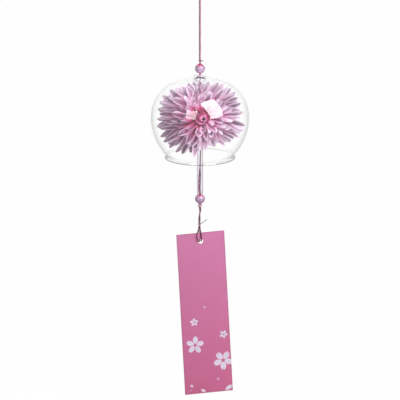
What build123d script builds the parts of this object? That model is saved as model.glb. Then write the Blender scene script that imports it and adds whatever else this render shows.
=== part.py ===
from build123d import *
import math
import os

# A glass wind bell with a fabric flower inside, a clear tube as its clapper and a paper tag for the wind.
# Millimetres and degrees. The origin is where a hook bears inside the hanging loop, +Z is up,
# and the flower and the print on the tag face -Y.

# Cord and knots
cord_diameter = 0.85
strand_gap = 0.05
seat_gap = 0.3
end_gap = 0.15
loop_width = 6.6
loop_height = 9.9
loop_knot_radius = 1.6
hanging_drop = 53.3
top_knot_radius = 1.25
top_knot_tail = 2.6
small_knot_radius = 1.4
stopper_knot_radius = 1.1
hub_knot_radius = 1.6
bottom_knot_radius = 1.5
tie_knot_radius = 1.2
pair_diameter = 1.7

# Beads
bead_diameter = 8.2
bead_height = 7.0
bead_bore = 3.0
bead_drop = 1.7

# Glass bowl
bowl_diameter = 80.0
dome_height = 34.3
skirt_height = 31.3
dome_power = 2.3
skirt_power = 1.8
glass_wall = 1.5
mouth_lip_height = 1.9
mouth_neck_diameter = 56.4
mouth_draw = 0.15
mouth_lip_diameter = 57.6
crown_hole = 7.0
crown_lip_diameter = 9.6
crown_lip_height = 2.8
crown_fillet = 1.6
crown_lip_rounding = 0.4
mouth_rounding = 0.4
profile_spans = 9
crown_run = (1.0, -0.1)
mouth_run = (-0.75, -1.0)
flare_run = (0.2, -1.0)
knot_to_crown = 3.1

# Clear washer under the crown hole
washer_diameter = 10.4
washer_thickness = 0.8
washer_bore = 1.3

# Flower: its hub axis leans back from the viewer by the tilt
flower_side = 0.8
flower_forward = 5.5
flower_rise = 2.9
flower_tilt = 20.0
hub_stem_diameter = 5.2
hub_back = 4.0
hub_front = 4.6
hub_tip_diameter = 3.6
calyx_diameter = 9.0
calyx_back_diameter = 4.4
calyx_edge = 0.4
hub_tip_length = 0.87
petal_thickness = 0.4
petal_bore_gap = 0.05
layer_spacing = 0.8
reach_side = 36.0
reach_up = 29.2
reach_down = 33.2
reach_power = 2.4
cord_channel = 1.5

# Clapper tube
tube_diameter = 5.0
tube_bore = 3.6
tube_length = 60.9
knot_to_tube = 0.9
strand_spread = 1.35
strand_bend_height = 3.0

# Paper tag
tag_width = 39.6
tag_length = 135.3
tag_thickness = 0.45
tag_hole = 4.0
tag_hole_drop = 7.4
tag_roll = 3.1
tag_yaw = 10.3
tag_side = 0.55
tag_loop_drop = 14.6

# Petal layers from back to front, the last two the heart: petals in each, their turn in petal
# pitches, lean and curl in degrees, the reach as a share of the flower's reach, the ring as a share
# of the layer's reach, and a petal's width as a share of its room at its widest place.
layer_names = [f"petal_layer_{number}" for number in range(1, 7)] + ["core_petals_outer", "core_petals_inner"]
petal_counts = [18, 16, 17, 14, 14, 12, 8, 6]
turn_shares = [0.00, 0.50, 0.25, 0.50, 0.10, 0.40, 0.30, 0.00]
lean_angles = [-4.0, 1.0, 5.0, 9.0, 13.0, 18.0, 44.0, 58.0]
curl_angles = [-4.0, -3.0, -3.0, -3.0, -2.0, -2.0, 16.0, 16.0]
reach_shares = [1.00, 0.99, 0.96, 0.88, 0.74, 0.56, 0.26, 0.17]
ring_shares = [0.31, 0.30, 0.30, 0.30, 0.32, 0.36, 0.50, 0.62]
width_shares = [0.74, 0.68, 0.72, 0.68, 0.74, 0.78, 0.86, 0.90]
layers_behind_middle_count = 3
widest_share = 0.60
root_width_share = 0.97
tip_bulge_share = 0.62
tip_width_share = 0.34

# Heights worked out from the sizes above
loop_knot_z = -loop_height - loop_knot_radius
top_knot_z = loop_knot_z - hanging_drop
top_bead_z = top_knot_z - top_knot_radius - bead_drop - bead_height / 2
under_bead_knot_z = top_bead_z - bead_height / 2 - seat_gap - small_knot_radius
crown_z = under_bead_knot_z - knot_to_crown
equator_z = crown_z - dome_height
rim_z = equator_z - skirt_height
washer_top_z = crown_z - glass_wall - seat_gap
stopper_knot_z = washer_top_z - washer_thickness - end_gap - stopper_knot_radius

# The flower's own frame: x to the right, y up along the petals, z along the hub axis to the viewer
tilt = math.radians(flower_tilt)
flower_plane = Plane(
    origin=(flower_side, -flower_forward, equator_z + flower_rise),
    x_dir=(1, 0, 0),
    z_dir=(0, -math.cos(tilt), math.sin(tilt)),
)

# The clapper swings about the knot behind the hub
hub_back_point = flower_plane.from_local_coords(Vector(0, 0, -hub_back))
pivot_z = hub_back_point.Z - hub_knot_radius * math.sin(tilt) - seat_gap / 2
tube_top_z = pivot_z - hub_knot_radius - knot_to_tube
tube_bottom_z = tube_top_z - tube_length
bottom_bead_z = tube_bottom_z - seat_gap - bead_height / 2
bottom_knot_z = bottom_bead_z - bead_height / 2 - seat_gap - bottom_knot_radius

# Cord routes that are neither straight nor worked out: offsets chosen by hand, in millimetres
flower_cord_points = [
    (0.0, 0.0, -1.25),
    (-0.6, -1.0, -3.2),
    (-3.2, -4.2, -8.6),
    (-3.7, -7.2, -15.4),
    (-2.6, -9.4, -22.4),
]
tag_cord_points = [
    (-0.1, 0.0, -1.75),
    (0.4, 0.0, -4.0),
    (-0.3, 0.0, -7.4),
    (-0.45, 0.0, -10.8),
    (-0.5, 0.0, -14.55),
]
tie_knot_offset = (-0.5, 0.0, -16.0)
tie_tail_points = [(0.0, 0.0, 0.0), (2.6, -0.3, 1.0), (4.3, -0.4, 2.6), (6.2, -0.4, 3.9)]
tag_loop_left_points = [
    (-0.45, -0.46, -1.4),
    (-0.46, -0.55, -4.2),
    (-2.0, -1.35, -7.6),
    (-2.15, -1.35, -10.6),
    (-1.2, -1.5, -13.7),
    (0.4, -0.3, -14.9),
    (0.2, 1.0, -13.3),
    (-0.35, 0.75, -9.0),
    (-0.46, 0.5, -4.2),
    (-0.45, 0.46, -1.4),
]
tag_loop_right_points = [
    (0.45, -0.46, -1.4),
    (0.46, -0.55, -4.2),
    (1.45, -0.85, -7.6),
    (1.6, -0.8, -10.6),
    (1.45, -0.8, -13.4),
    (1.75, 0.3, -14.5),
    (1.55, 1.2, -13.2),
    (1.0, 1.1, -9.0),
    (0.46, 0.5, -4.2),
    (0.45, 0.46, -1.4),
]


def shifted(points, base):
    """Points moved by the vector base."""
    return [tuple(p + b for p, b in zip(point, base)) for point in points]


def corner_radii(points):
    """Arc radius at each inner point: 0.45 of its shorter run over the tangent of half its turn."""
    radii = []
    for before, here, after in zip(points, points[1:], points[2:]):
        run_in = Vector(*here) - Vector(*before)
        run_out = Vector(*after) - Vector(*here)
        half_turn = math.radians(run_in.get_angle(run_out)) / 2
        radii.append(0.45 * min(run_in.length, run_out.length) / math.tan(half_turn))
    return radii


def route(points, name):
    """Straight runs joined by tangent arcs, and its radii printed."""
    if len(points) == 2:
        return Line(*points)
    radii = corner_radii(points)
    print(name, "radii", [round(radius, 2) for radius in radii])
    return FilletPolyline(*points, radius=radii)


def cord_tube(points, name, diameter=cord_diameter):
    """Round tube along a route, with its volume set against section times length."""
    path = route(points, name)
    section = Plane(origin=path @ 0, z_dir=path % 0) * Circle(diameter / 2)
    tube = sweep(section, path=path)
    expected = math.pi * diameter**2 / 4 * path.length
    print(name, "length", round(path.length, 2), "volume share", round(tube.volume / expected, 4))
    return tube


def knot(radius, centre):
    """Round closed knot, so that a cord which swings about it keeps the same gap."""
    return Pos(*centre) * Sphere(radius)


def strand_pair(top_z, bottom_z, names):
    """Two parallel strands of a doubled cord, left then right."""
    side = (cord_diameter + strand_gap) / 2
    return {
        name: cord_tube([(x, 0, top_z), (x, 0, bottom_z)], name)
        for name, x in zip(names, (-side, side))
    }


def hanging_parts():
    """The loop on the hook, its knot, the two strands and the knot above the bead."""
    side = (cord_diameter + strand_gap) / 2
    leg_z = loop_knot_z + loop_knot_radius + end_gap
    top_z = cord_diameter / 2
    half = loop_width / 2
    shoulder_z = leg_z + loop_height / 2
    loop = cord_tube(
        [
            (-side, 0, leg_z),
            (-half, 0, shoulder_z),
            (-half, 0, top_z),
            (half, 0, top_z),
            (half, 0, shoulder_z),
            (side, 0, leg_z),
        ],
        "hanging_loop",
    )
    strand_top = loop_knot_z - loop_knot_radius - end_gap
    strand_bottom = top_knot_z + top_knot_radius
    tail = cord_tube(
        [(0, 0, top_knot_z), (top_knot_tail, 0, top_knot_z)],
        "top_knot_tail",
    )
    parts = {
        "hanging_loop": loop,
        "loop_knot": knot(loop_knot_radius, (0, 0, loop_knot_z)),
        "top_knot": knot(top_knot_radius, (0, 0, top_knot_z)) + tail,
    }
    parts.update(strand_pair(strand_top, strand_bottom, ["hanging_strand_left", "hanging_strand_right"]))
    return parts


def bead(centre_z):
    """Round bead, a little lower than wide, with a straight bore."""
    bore = bead_bore / 2
    half = bead_height / 2
    with BuildPart() as solid:
        with BuildSketch(Plane.XZ):
            with BuildLine():
                ThreePointArc((bore, half), (bead_diameter / 2, 0), (bore, -half))
                Line((bore, -half), (bore, half))
            make_face()
        revolve(axis=Axis.Z)
    return Pos(0, 0, centre_z) * solid.part


def oval_share(share, power):
    """The other side of a squarish oval of unit half sides."""
    return (1 - share**power) ** (1 / power)


def bowl_points(inset, first_radius, last_radius, last_drop):
    """Points down a bowl surface: over the equator from a radius near the crown, and under it to the
    radius and drop where the mouth begins. The skirt is the part of an oval that passes through there."""
    half = bowl_diameter / 2 - inset
    height = dome_height - inset
    start_angle = math.asin(oval_share(first_radius / half, dome_power))
    depth = last_drop / oval_share(last_radius / half, skirt_power)
    points = []
    for step in range(profile_spans):
        rise = math.sin(start_angle * (1 - step / profile_spans))
        points.append((half * oval_share(rise, dome_power), height * rise))
    for step in range(profile_spans + 1):
        drop = last_drop * step / profile_spans
        points.append((half * oval_share(drop / depth, skirt_power), -drop))
    return points


def glass_bowl():
    """Blown bowl: a squarish dome, a drawn-in skirt, a lip at the mouth and one round the crown hole."""
    lip_top = dome_height + crown_lip_height
    hole = crown_hole / 2
    lip = crown_lip_diameter / 2
    neck = mouth_neck_diameter / 2
    skirt_end = skirt_height - mouth_lip_height
    wall_across = glass_wall * math.hypot(*mouth_run)
    draw = neck + mouth_draw
    outer = bowl_points(0, lip + crown_fillet, draw, skirt_end - glass_wall / 2)
    inner = bowl_points(glass_wall, hole + crown_fillet, draw - wall_across, skirt_end - glass_wall / 2)
    mouth = mouth_lip_diameter / 2
    lip_middle = ((hole + lip) / 2, lip_top + crown_lip_rounding)
    rim_middle = (mouth - glass_wall / 2, -skirt_height - mouth_rounding)
    with BuildPart() as solid:
        with BuildSketch(Plane.XZ):
            with BuildLine():
                ThreePointArc((hole, lip_top), lip_middle, (lip, lip_top))
                collar = Line((lip, lip_top), (lip, dome_height + crown_fillet / 2))
                Spline(collar @ 1, outer[0], tangents=[(0, -1), crown_run])
                wall = Spline(*outer, tangents=[crown_run, mouth_run])
                lip_out = Spline(
                    wall @ 1,
                    (neck, -skirt_end - mouth_rounding),
                    (mouth, -skirt_height),
                    tangents=[mouth_run, flare_run],
                )
                ThreePointArc(lip_out @ 1, rim_middle, (mouth - glass_wall, -skirt_height))
                Spline(
                    inner[-1],
                    (neck - glass_wall, -skirt_end - mouth_rounding),
                    (mouth - glass_wall, -skirt_height),
                    tangents=[mouth_run, flare_run],
                )
                Spline(*inner, tangents=[crown_run, mouth_run])
                Spline((hole, dome_height), inner[0], tangents=[(0, -1), crown_run])
                Line((hole, dome_height), (hole, lip_top))
            make_face()
        revolve(axis=Axis.Z)
    return Pos(0, 0, equator_z) * solid.part


def washer():
    """Clear washer that carries the glass from inside."""
    disc = Cylinder(washer_diameter / 2, washer_thickness) - Cylinder(washer_bore / 2, washer_thickness)
    return Pos(0, 0, washer_top_z - washer_thickness / 2) * disc


def flower_cord_route():
    """From under the stopper knot, in front of the upper petals, into the hub and out at its back."""
    points = shifted(flower_cord_points, (0, 0, stopper_knot_z))
    entry = flower_plane.from_local_coords(Vector(0, 0, hub_front - petal_thickness))
    end = Vector(0, 0, pivot_z)
    toward = (end - entry).normalized()
    exit_point = end - toward * (hub_knot_radius + end_gap)
    return points + [tuple(entry), tuple(exit_point)]


def flower_hub():
    """Stem with a rounded front, and a calyx behind the petals."""
    stem = hub_stem_diameter / 2
    calyx_front = -layer_spacing * layers_behind_middle_count - petal_thickness / 2
    outline = [
        (0, -hub_back),
        (calyx_back_diameter / 2, -hub_back),
        (calyx_diameter / 2, calyx_front - calyx_edge),
        (calyx_diameter / 2, calyx_front),
        (stem, calyx_front),
        (stem, hub_front - hub_tip_length),
        (hub_tip_diameter / 2, hub_front),
        (0, hub_front),
    ]
    with BuildPart() as solid:
        with BuildSketch(Plane.XZ):
            with BuildLine():
                Polyline(*outline, close=True)
            make_face()
        revolve(axis=Axis.Z)
    return solid.part


def reach(angle):
    """How far the flower reaches at an angle from its right side: a squarish oval."""
    vertical = reach_up if math.sin(angle) > 0 else reach_down
    across = (abs(math.cos(angle)) / reach_side) ** reach_power
    upright = (abs(math.sin(angle)) / vertical) ** reach_power
    return (across + upright) ** (-1 / reach_power)


def petal_star(count, turn, ring_radius, reach_share, width_share):
    """Flat outline of a stamped disc: a ring and its petals, each widest past its middle."""
    star = Circle(ring_radius)
    pitch = 2 * math.pi / count
    root = ring_radius * math.sin(pitch / 2) * root_width_share
    for index in range(count):
        angle = math.pi / 2 + (index + turn) * pitch
        length = reach_share * reach(angle)
        wide_at = ring_radius + (length - ring_radius) * widest_share
        half_width = wide_at * math.sin(pitch / 2) * width_share
        half_width = min(half_width, root * (1 + width_share))
        bulge_at = wide_at + (length - wide_at) * tip_bulge_share
        bulge = half_width * (1 - tip_width_share)
        start = ring_radius * math.cos(pitch / 2) * root_width_share
        with BuildSketch() as petal:
            with BuildLine():
                Polyline((wide_at, half_width), (start, root), (start, -root), (wide_at, -half_width))
                ThreePointArc((wide_at, -half_width), (bulge_at, -bulge), (length, 0))
                ThreePointArc((length, 0), (bulge_at, bulge), (wide_at, half_width))
            make_face()
        star += Rot(0, 0, math.degrees(angle)) * petal.sketch
    return star


def petal_shell(seat, lean, curl):
    """Thin shell turned about the hub axis, along an arc that leans and curls."""
    bore = hub_stem_diameter / 2 + petal_bore_gap
    run = max(reach_side, reach_down) - bore
    chord_angle = math.radians(lean + curl / 2)
    rise = run * math.tan(chord_angle)
    sagitta = math.hypot(run, rise) / 2 * math.tan(math.radians(curl) / 4)
    mid = (
        bore + run / 2 + sagitta * math.sin(chord_angle),
        seat + rise / 2 - sagitta * math.cos(chord_angle),
    )
    ends = ((bore, seat), (bore + run, seat + rise))
    lift = petal_thickness
    with BuildPart() as shell:
        with BuildSketch(Plane.XZ):
            with BuildLine():
                ThreePointArc(ends[0], mid, ends[1])
                Line(ends[1], (ends[1][0], ends[1][1] + lift))
                ThreePointArc(
                    (ends[1][0], ends[1][1] + lift),
                    (mid[0], mid[1] + lift),
                    (ends[0][0], ends[0][1] + lift),
                )
                Line((ends[0][0], ends[0][1] + lift), ends[0])
            make_face()
        revolve(axis=Axis.Z)
    return shell.part


def petal_layer(level):
    """One stamped and curled disc of petals at its level on the hub."""
    seat = (level - layers_behind_middle_count) * layer_spacing
    ring_radius = ring_shares[level] * reach_shares[level] * reach_up
    shell = petal_shell(seat, lean_angles[level], curl_angles[level])
    star = petal_star(
        petal_counts[level],
        turn_shares[level],
        ring_radius,
        reach_shares[level],
        width_shares[level],
    )
    prism = Pos(0, 0, -reach_side) * extrude(star, amount=reach_side + reach_side)
    return shell & prism


def flower_parts():
    """Hub, petal layers and heart, each bored for the cord that runs through them."""
    channel = cord_tube(flower_cord_route(), "cord_channel", cord_channel)
    solids = {"flower_hub": flower_hub()}
    for level, name in enumerate(layer_names):
        solids[name] = petal_layer(level)
    return {name: (flower_plane.location * solid) - channel for name, solid in solids.items()}


def clapper_parts():
    """Tube, its two strands, the bead under it and the knot under that."""
    spread = strand_spread / 2
    strand_top = pivot_z - hub_knot_radius - seat_gap
    side = (cord_diameter + strand_gap) / 2
    bead_top = bottom_bead_z + bead_height / 2
    tube = Cylinder(tube_diameter / 2, tube_length) - Cylinder(tube_bore / 2, tube_length)
    strand_end = bottom_knot_z + bottom_knot_radius
    return {
        "clapper_tube": Pos(0, 0, (tube_top_z + tube_bottom_z) / 2) * tube,
        "clapper_strand_left": cord_tube(
            [
                (0, spread, strand_top),
                (-spread, 0, tube_bottom_z + strand_bend_height),
                (-side, 0, bead_top - strand_bend_height),
                (-side, 0, strand_end),
            ],
            "clapper_strand_left",
        ),
        "clapper_strand_right": cord_tube(
            [
                (0, -spread, strand_top),
                (spread, 0, tube_bottom_z + strand_bend_height),
                (side, 0, bead_top - strand_bend_height),
                (side, 0, strand_end),
            ],
            "clapper_strand_right",
        ),
        "bottom_bead": bead(bottom_bead_z),
        "bottom_knot": knot(bottom_knot_radius, (0, 0, bottom_knot_z)),
    }


def tag_parts():
    """Twisted cord, the knot with its tail, the loops and the paper tag."""
    base = (0, 0, bottom_knot_z)
    tie_centre = shifted([tie_knot_offset], base)[0]
    tail = cord_tube(shifted(tie_tail_points, tie_centre), "tie_tail")
    hole_z = tie_centre[2] - tag_loop_drop
    card = Box(tag_width, tag_thickness, tag_length)
    hole = Pos(0, 0, tag_length / 2 - tag_hole_drop) * Rot(90, 0, 0) * Cylinder(tag_hole / 2, tag_width)
    hung = Pos(0, 0, tag_hole_drop - tag_length / 2) * (card - hole)
    placed = Pos(tag_side, 0, hole_z) * Rot(0, 0, tag_yaw) * Rot(0, -tag_roll, 0) * hung
    return {
        "tag_cord": cord_tube(shifted(tag_cord_points, base), "tag_cord", pair_diameter),
        "tie_knot": knot(tie_knot_radius, tie_centre) + tail,
        "tag_loop_left": cord_tube(shifted(tag_loop_left_points, tie_centre), "tag_loop_left"),
        "tag_loop_right": cord_tube(shifted(tag_loop_right_points, tie_centre), "tag_loop_right"),
        "paper_tag": placed,
    }


def all_parts():
    """Every piece by its name."""
    parts = hanging_parts()
    bead_span = [top_knot_z - top_knot_radius - end_gap, under_bead_knot_z + small_knot_radius]
    pair = strand_pair(*bead_span, ["bead_cord_left", "bead_cord_right"])
    parts["bead_cords"] = Compound(children=list(pair.values()))
    parts["top_bead"] = bead(top_bead_z)
    parts["under_bead_knot"] = knot(small_knot_radius, (0, 0, under_bead_knot_z))
    parts["crown_cord"] = cord_tube(
        [(0, 0, under_bead_knot_z - small_knot_radius), (0, 0, stopper_knot_z + stopper_knot_radius)],
        "crown_cord",
    )
    parts["glass_bowl"] = glass_bowl()
    parts["crown_stopper"] = washer()
    parts["stopper_knot"] = knot(stopper_knot_radius, (0, 0, stopper_knot_z))
    parts["flower_cord"] = cord_tube(flower_cord_route(), "flower_cord")
    parts.update(flower_parts())
    parts["hub_knot"] = knot(hub_knot_radius, (0, 0, pivot_z))
    parts.update(clapper_parts())
    parts.update(tag_parts())
    return parts


os.makedirs("parts", exist_ok=True)
for node, solid in all_parts().items():
    export_step(solid, f"parts/{node}.step")
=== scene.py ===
import math

import bmesh
import bpy
import numpy as np
from mathutils import Matrix, Vector


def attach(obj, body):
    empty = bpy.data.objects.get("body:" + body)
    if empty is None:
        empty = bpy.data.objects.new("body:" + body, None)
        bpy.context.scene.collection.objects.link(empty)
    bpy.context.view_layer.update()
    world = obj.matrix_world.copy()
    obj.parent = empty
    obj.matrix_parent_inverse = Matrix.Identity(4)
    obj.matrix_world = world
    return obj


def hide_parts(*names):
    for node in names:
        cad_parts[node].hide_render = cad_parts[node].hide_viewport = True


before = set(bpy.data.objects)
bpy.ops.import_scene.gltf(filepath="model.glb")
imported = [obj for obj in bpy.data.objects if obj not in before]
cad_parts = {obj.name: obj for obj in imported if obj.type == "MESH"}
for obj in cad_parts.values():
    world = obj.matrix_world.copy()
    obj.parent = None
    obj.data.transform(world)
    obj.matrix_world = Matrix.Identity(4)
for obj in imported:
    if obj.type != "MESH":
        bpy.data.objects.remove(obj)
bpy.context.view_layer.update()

# Places and sizes of the wind bell in its row frame, in millimetres, which become metres in the meshes
MM = 0.001

# A strand's thickness, and how far each strand of a pair lies from the middle
CORD, PAIR_ASIDE = 0.85, 0.45

# From the loop down to the tag: knots and beads by their middles, upright pieces by their ends
LOOP_KNOT = np.array([0.0, 0.0, -11.5])
STRAND_TOP_Z, STRAND_BOTTOM_Z = -13.25, -63.55
TOP_KNOT = np.array([0.0, 0.0, -64.8])
TOP_BEAD = np.array([0.0, 0.0, -71.25])
BEAD_CORDS_Z = (-66.2, -75.05)
BEAD_RADIUS, BEAD_HALF, BEAD_BORE, BEAD_MOUTH = 4.1, 3.5, 1.5, 1.72
UNDER_BEAD_KNOT = np.array([0.0, 0.0, -76.45])
CROWN_CORD_Z = (-77.85, -82.3)
WASHER_TOP_Z = -81.35
STOPPER_KNOT = np.array([0.0, 0.0, -83.4])
EQUATOR_Z = -113.85
BOWL_HALF, DOME_HIGH, SKIRT_DEEP, GLASS_WALL = 40.0, 34.3, 44.0, 1.5
DOME_POWER, SKIRT_POWER = 2.3, 1.8
FLOWER = np.array([0.8, -5.5, -110.95])
FLOWER_TILT = math.radians(20.0)
HUB_RADIUS = 2.6
HUB_KNOT = np.array([0.0, 0.0, -113.015])
CLAPPER_CORDS_Z = (-114.92, -184.0)
TUBE_TOP_Z, TUBE_BOTTOM_Z = -115.5, -176.4
TUBE_BORE, TUBE_RADIUS = 1.8, 2.5
BOTTOM_BEAD = np.array([0.0, 0.0, -180.2])
BOTTOM_KNOT = np.array([0.0, 0.0, -185.5])
TIE_KNOT = np.array([-0.5, 0.0, -201.5])
TAG_HOLE = np.array([0.55, 0.0, -216.1])
TAG_WIDTH, TAG_LENGTH, TAG_THICK, HOLE_DROP, HOLE_RADIUS = 39.6, 135.3, 0.45, 7.4, 2.0

# The way through the bell, from which the rings of most cords are set out
ACROSS = (0.0, 1.0, 0.0)


# The camera: a long lens that looks down on the bell by 14.4 degrees

def make_camera():
    """Stands back along the line of sight, so that the picture is 325 mm wide at the bell."""
    elevation = math.radians(14.4)
    back = Vector((0.0, -math.cos(elevation), math.sin(elevation)))
    aim, distance = Vector((0.0, 0.0, -0.1813)), 10.84
    data = bpy.data.cameras.new("camera")
    data.lens = 1200
    data.sensor_width = 36
    data.clip_end = 40
    camera = bpy.data.objects.new("camera", data)
    camera.location = aim + back * distance
    camera.rotation_euler = (-back).to_track_quat("-Z", "Y").to_euler()
    bpy.context.scene.collection.objects.link(camera)
    bpy.context.scene.camera = camera


make_camera()


# Colours and node helpers

def rgb(red, green, blue):
    """A screen colour, 0 to 255, as the linear colour that a shader takes."""
    share = np.array([red, green, blue]) / 255
    linear = np.where(share <= 0.04045, share / 12.92, ((share + 0.055) / 1.055) ** 2.4)
    return (*linear, 1.0)


def grey(level):
    """A linear grey, as a shader takes it."""
    return (level, level, level, 1.0)


def dye(*rows):
    """Colour stops, from rows of place, red, green and blue."""
    return [(place, rgb(*colour)) for place, *colour in rows]


def new_material(name):
    """An empty material with its node tree and its Principled shader."""
    material = bpy.data.materials.new(name)
    material.use_nodes = True
    tree = material.node_tree
    return material, tree, tree.nodes["Principled BSDF"]


def fill(tree, node, values):
    """Sets a node's input sockets to values, or links them to other sockets."""
    for socket, value in values.items():
        if isinstance(value, bpy.types.NodeSocket):
            tree.links.new(value, node.inputs[socket])
        else:
            node.inputs[socket].default_value = value
    return node


def add(tree, kind, values=None, **settings):
    """A node with its settings and its filled input sockets."""
    node = tree.nodes.new(kind)
    for key, value in settings.items():
        setattr(node, key, value)
    return fill(tree, node, values or {})


def maths(tree, operation, first, second=0.5, third=0.5):
    """One number worked out from up to three."""
    node = add(tree, "ShaderNodeMath", {0: first, 1: second, 2: third}, operation=operation)
    return node.outputs[0]


def mapped(tree, value, first, last, low=0.0, high=1.0, **settings):
    """A number carried from one range to another, and held at its ends."""
    node = add(tree, "ShaderNodeMapRange", {0: value, 1: first, 2: last, 3: low, 4: high}, **settings)
    return node.outputs[0]


def parts_of(tree, vector):
    """The three parts of a vector."""
    return add(tree, "ShaderNodeSeparateXYZ", {0: vector}).outputs


def scaled(tree, colour, factor):
    """A colour made darker or lighter by a factor."""
    return add(tree, "ShaderNodeVectorMath", {0: colour, "Scale": factor}, operation="SCALE").outputs[0]


def blended(tree, share, first, second, way="MIX"):
    """Two colours mixed by a share."""
    node = add(tree, "ShaderNodeMix", {0: share, 6: first, 7: second}, data_type="RGBA", blend_type=way)
    return node.outputs[2]


def ramp(tree, share, stops):
    """A colour read from a row of stops."""
    node = add(tree, "ShaderNodeValToRGB", {0: share})
    elements = node.color_ramp.elements
    while len(elements) < len(stops):
        elements.new(0.5)
    for element, (place, colour) in zip(elements, stops):
        element.position = place
        element.color = colour
    return node.outputs[0]


def shown(tree):
    """One for the rays that show the room: those from the camera, from a gloss and through glass."""
    path = add(tree, "ShaderNodeLightPath").outputs
    return maths(tree, "MAXIMUM", path["Is Camera Ray"],
                 maths(tree, "MAXIMUM", path["Is Glossy Ray"], path["Is Transmission Ray"]))


def group_of(name, inputs, outputs):
    """An empty shader node group with named sockets, with its own input and output nodes."""
    tree = bpy.data.node_groups.new(name, "ShaderNodeTree")
    for label, kind, value in inputs:
        socket = tree.interface.new_socket(label, in_out="INPUT", socket_type=kind)
        if value is not None:
            socket.default_value = value
    for label, kind in outputs:
        tree.interface.new_socket(label, in_out="OUTPUT", socket_type=kind)
    return tree, tree.nodes.new("NodeGroupInput"), tree.nodes.new("NodeGroupOutput")


FLOAT, VECTOR = "NodeSocketFloat", "NodeSocketVector"


def make_yarn_lay():
    """Slanting stripes of twisted yarn: a cosine of the way round less the way along, softened by noise. The
    height makes the bump; Painted_Shade is painted shade, darker in the lay's grooves.
    """
    tree, source, result = group_of(
        "yarn_lay",
        [("Vector", VECTOR, None), ("Plies", FLOAT, 3.0), ("Turns", FLOAT, -1.0), ("Fuzz", FLOAT, 0.3)],
        [("Height", FLOAT), ("Painted_Shade", FLOAT)],
    )
    parts = parts_of(tree, source.outputs["Vector"])
    around = maths(tree, "MULTIPLY", parts[0], source.outputs["Plies"])
    along = maths(tree, "MULTIPLY", parts[1], source.outputs["Turns"])
    phase = maths(tree, "MULTIPLY", maths(tree, "ADD", around, along), 2 * math.pi)
    stripe = maths(tree, "MULTIPLY_ADD", maths(tree, "COSINE", phase), 0.5, 0.5)
    fuzz = add(tree, "ShaderNodeTexNoise", {"Vector": source.outputs["Vector"], "Scale": 9.0, "Detail": 3.0})
    uneven = maths(tree, "MULTIPLY", maths(tree, "SUBTRACT", fuzz.outputs[0], 0.5), source.outputs["Fuzz"])
    height = maths(tree, "ADD", maths(tree, "POWER", stripe, 0.6), uneven)
    fill(tree, result, {"Height": height, "Painted_Shade": maths(tree, "MULTIPLY_ADD", height, 0.55, 0.45)})
    return tree


def make_fine_grain():
    """Grain in two sizes, half of each, as a value about one half."""
    tree, source, result = group_of(
        "fine_grain",
        [("Vector", VECTOR, None), ("Scale", FLOAT, 400.0), ("Coarse", FLOAT, 0.25), ("Detail", FLOAT, 4.0)],
        [("Value", FLOAT)],
    )
    sockets = {"Vector": source.outputs["Vector"], "Detail": source.outputs["Detail"]}
    fine = add(tree, "ShaderNodeTexNoise", {**sockets, "Scale": source.outputs["Scale"], "Roughness": 0.6})
    wide_scale = maths(tree, "MULTIPLY", source.outputs["Scale"], source.outputs["Coarse"])
    wide = add(tree, "ShaderNodeTexNoise", {**sockets, "Scale": wide_scale})
    half_wide = maths(tree, "MULTIPLY", wide.outputs[0], 0.5)
    fill(tree, result, {"Value": maths(tree, "MULTIPLY_ADD", fine.outputs[0], 0.5, half_wide)})
    return tree


def make_cloth_streaks():
    """Fine streaks that run along a petal, as noise stretched along its length, and the weave, as the product
    of a sine across and one along."""
    tree, source, result = group_of(
        "cloth_streaks",
        [("Vector", VECTOR, None), ("Across", FLOAT, 9.0), ("Along", FLOAT, 1.2)],
        [("Streak", FLOAT), ("Weave", FLOAT)],
    )
    place, across, along = [source.outputs[label] for label in ("Vector", "Across", "Along")]
    scale = add(tree, "ShaderNodeCombineXYZ", {0: across, 1: along, 2: 1.0})
    spread = add(tree, "ShaderNodeVectorMath", {0: place, 1: scale.outputs[0]}, operation="MULTIPLY")
    streak = add(tree, "ShaderNodeTexNoise", {"Vector": spread.outputs[0], "Scale": 1.0, "Detail": 3.0})
    threads = (46.0, 150.0, 1.0)
    dense = add(tree, "ShaderNodeVectorMath", {0: place, 1: threads}, operation="MULTIPLY")
    warp, weft = [maths(tree, "SINE", maths(tree, "MULTIPLY", way, 2 * math.pi))
                  for way in parts_of(tree, dense.outputs[0])[:2]]
    weave = maths(tree, "MULTIPLY_ADD", maths(tree, "MULTIPLY", warp, weft), 0.5, 0.5)
    fill(tree, result, {"Streak": streak.outputs[0], "Weave": weave})
    return tree


YARN_LAY = make_yarn_lay()
FINE_GRAIN = make_fine_grain()
CLOTH_STREAKS = make_cloth_streaks()


def placed_group(tree, group, values):
    """A node group placed in a material with its values."""
    return add(tree, "ShaderNodeGroup", values, node_tree=group)


def grain_of(tree, place, scale, coarse=0.25, detail=4.0):
    """The fine grain of a piece, on its Object coordinates."""
    values = {"Vector": place.outputs["Object"], "Scale": scale, "Coarse": coarse, "Detail": detail}
    return placed_group(tree, FINE_GRAIN, values).outputs["Value"]


def bumped(tree, shader, height, strength, distance):
    """A height turned into the shader's normal."""
    bump = add(tree, "ShaderNodeBump", {"Height": height, "Strength": strength, "Distance": distance})
    tree.links.new(bump.outputs[0], shader.inputs["Normal"])


# Materials

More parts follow.
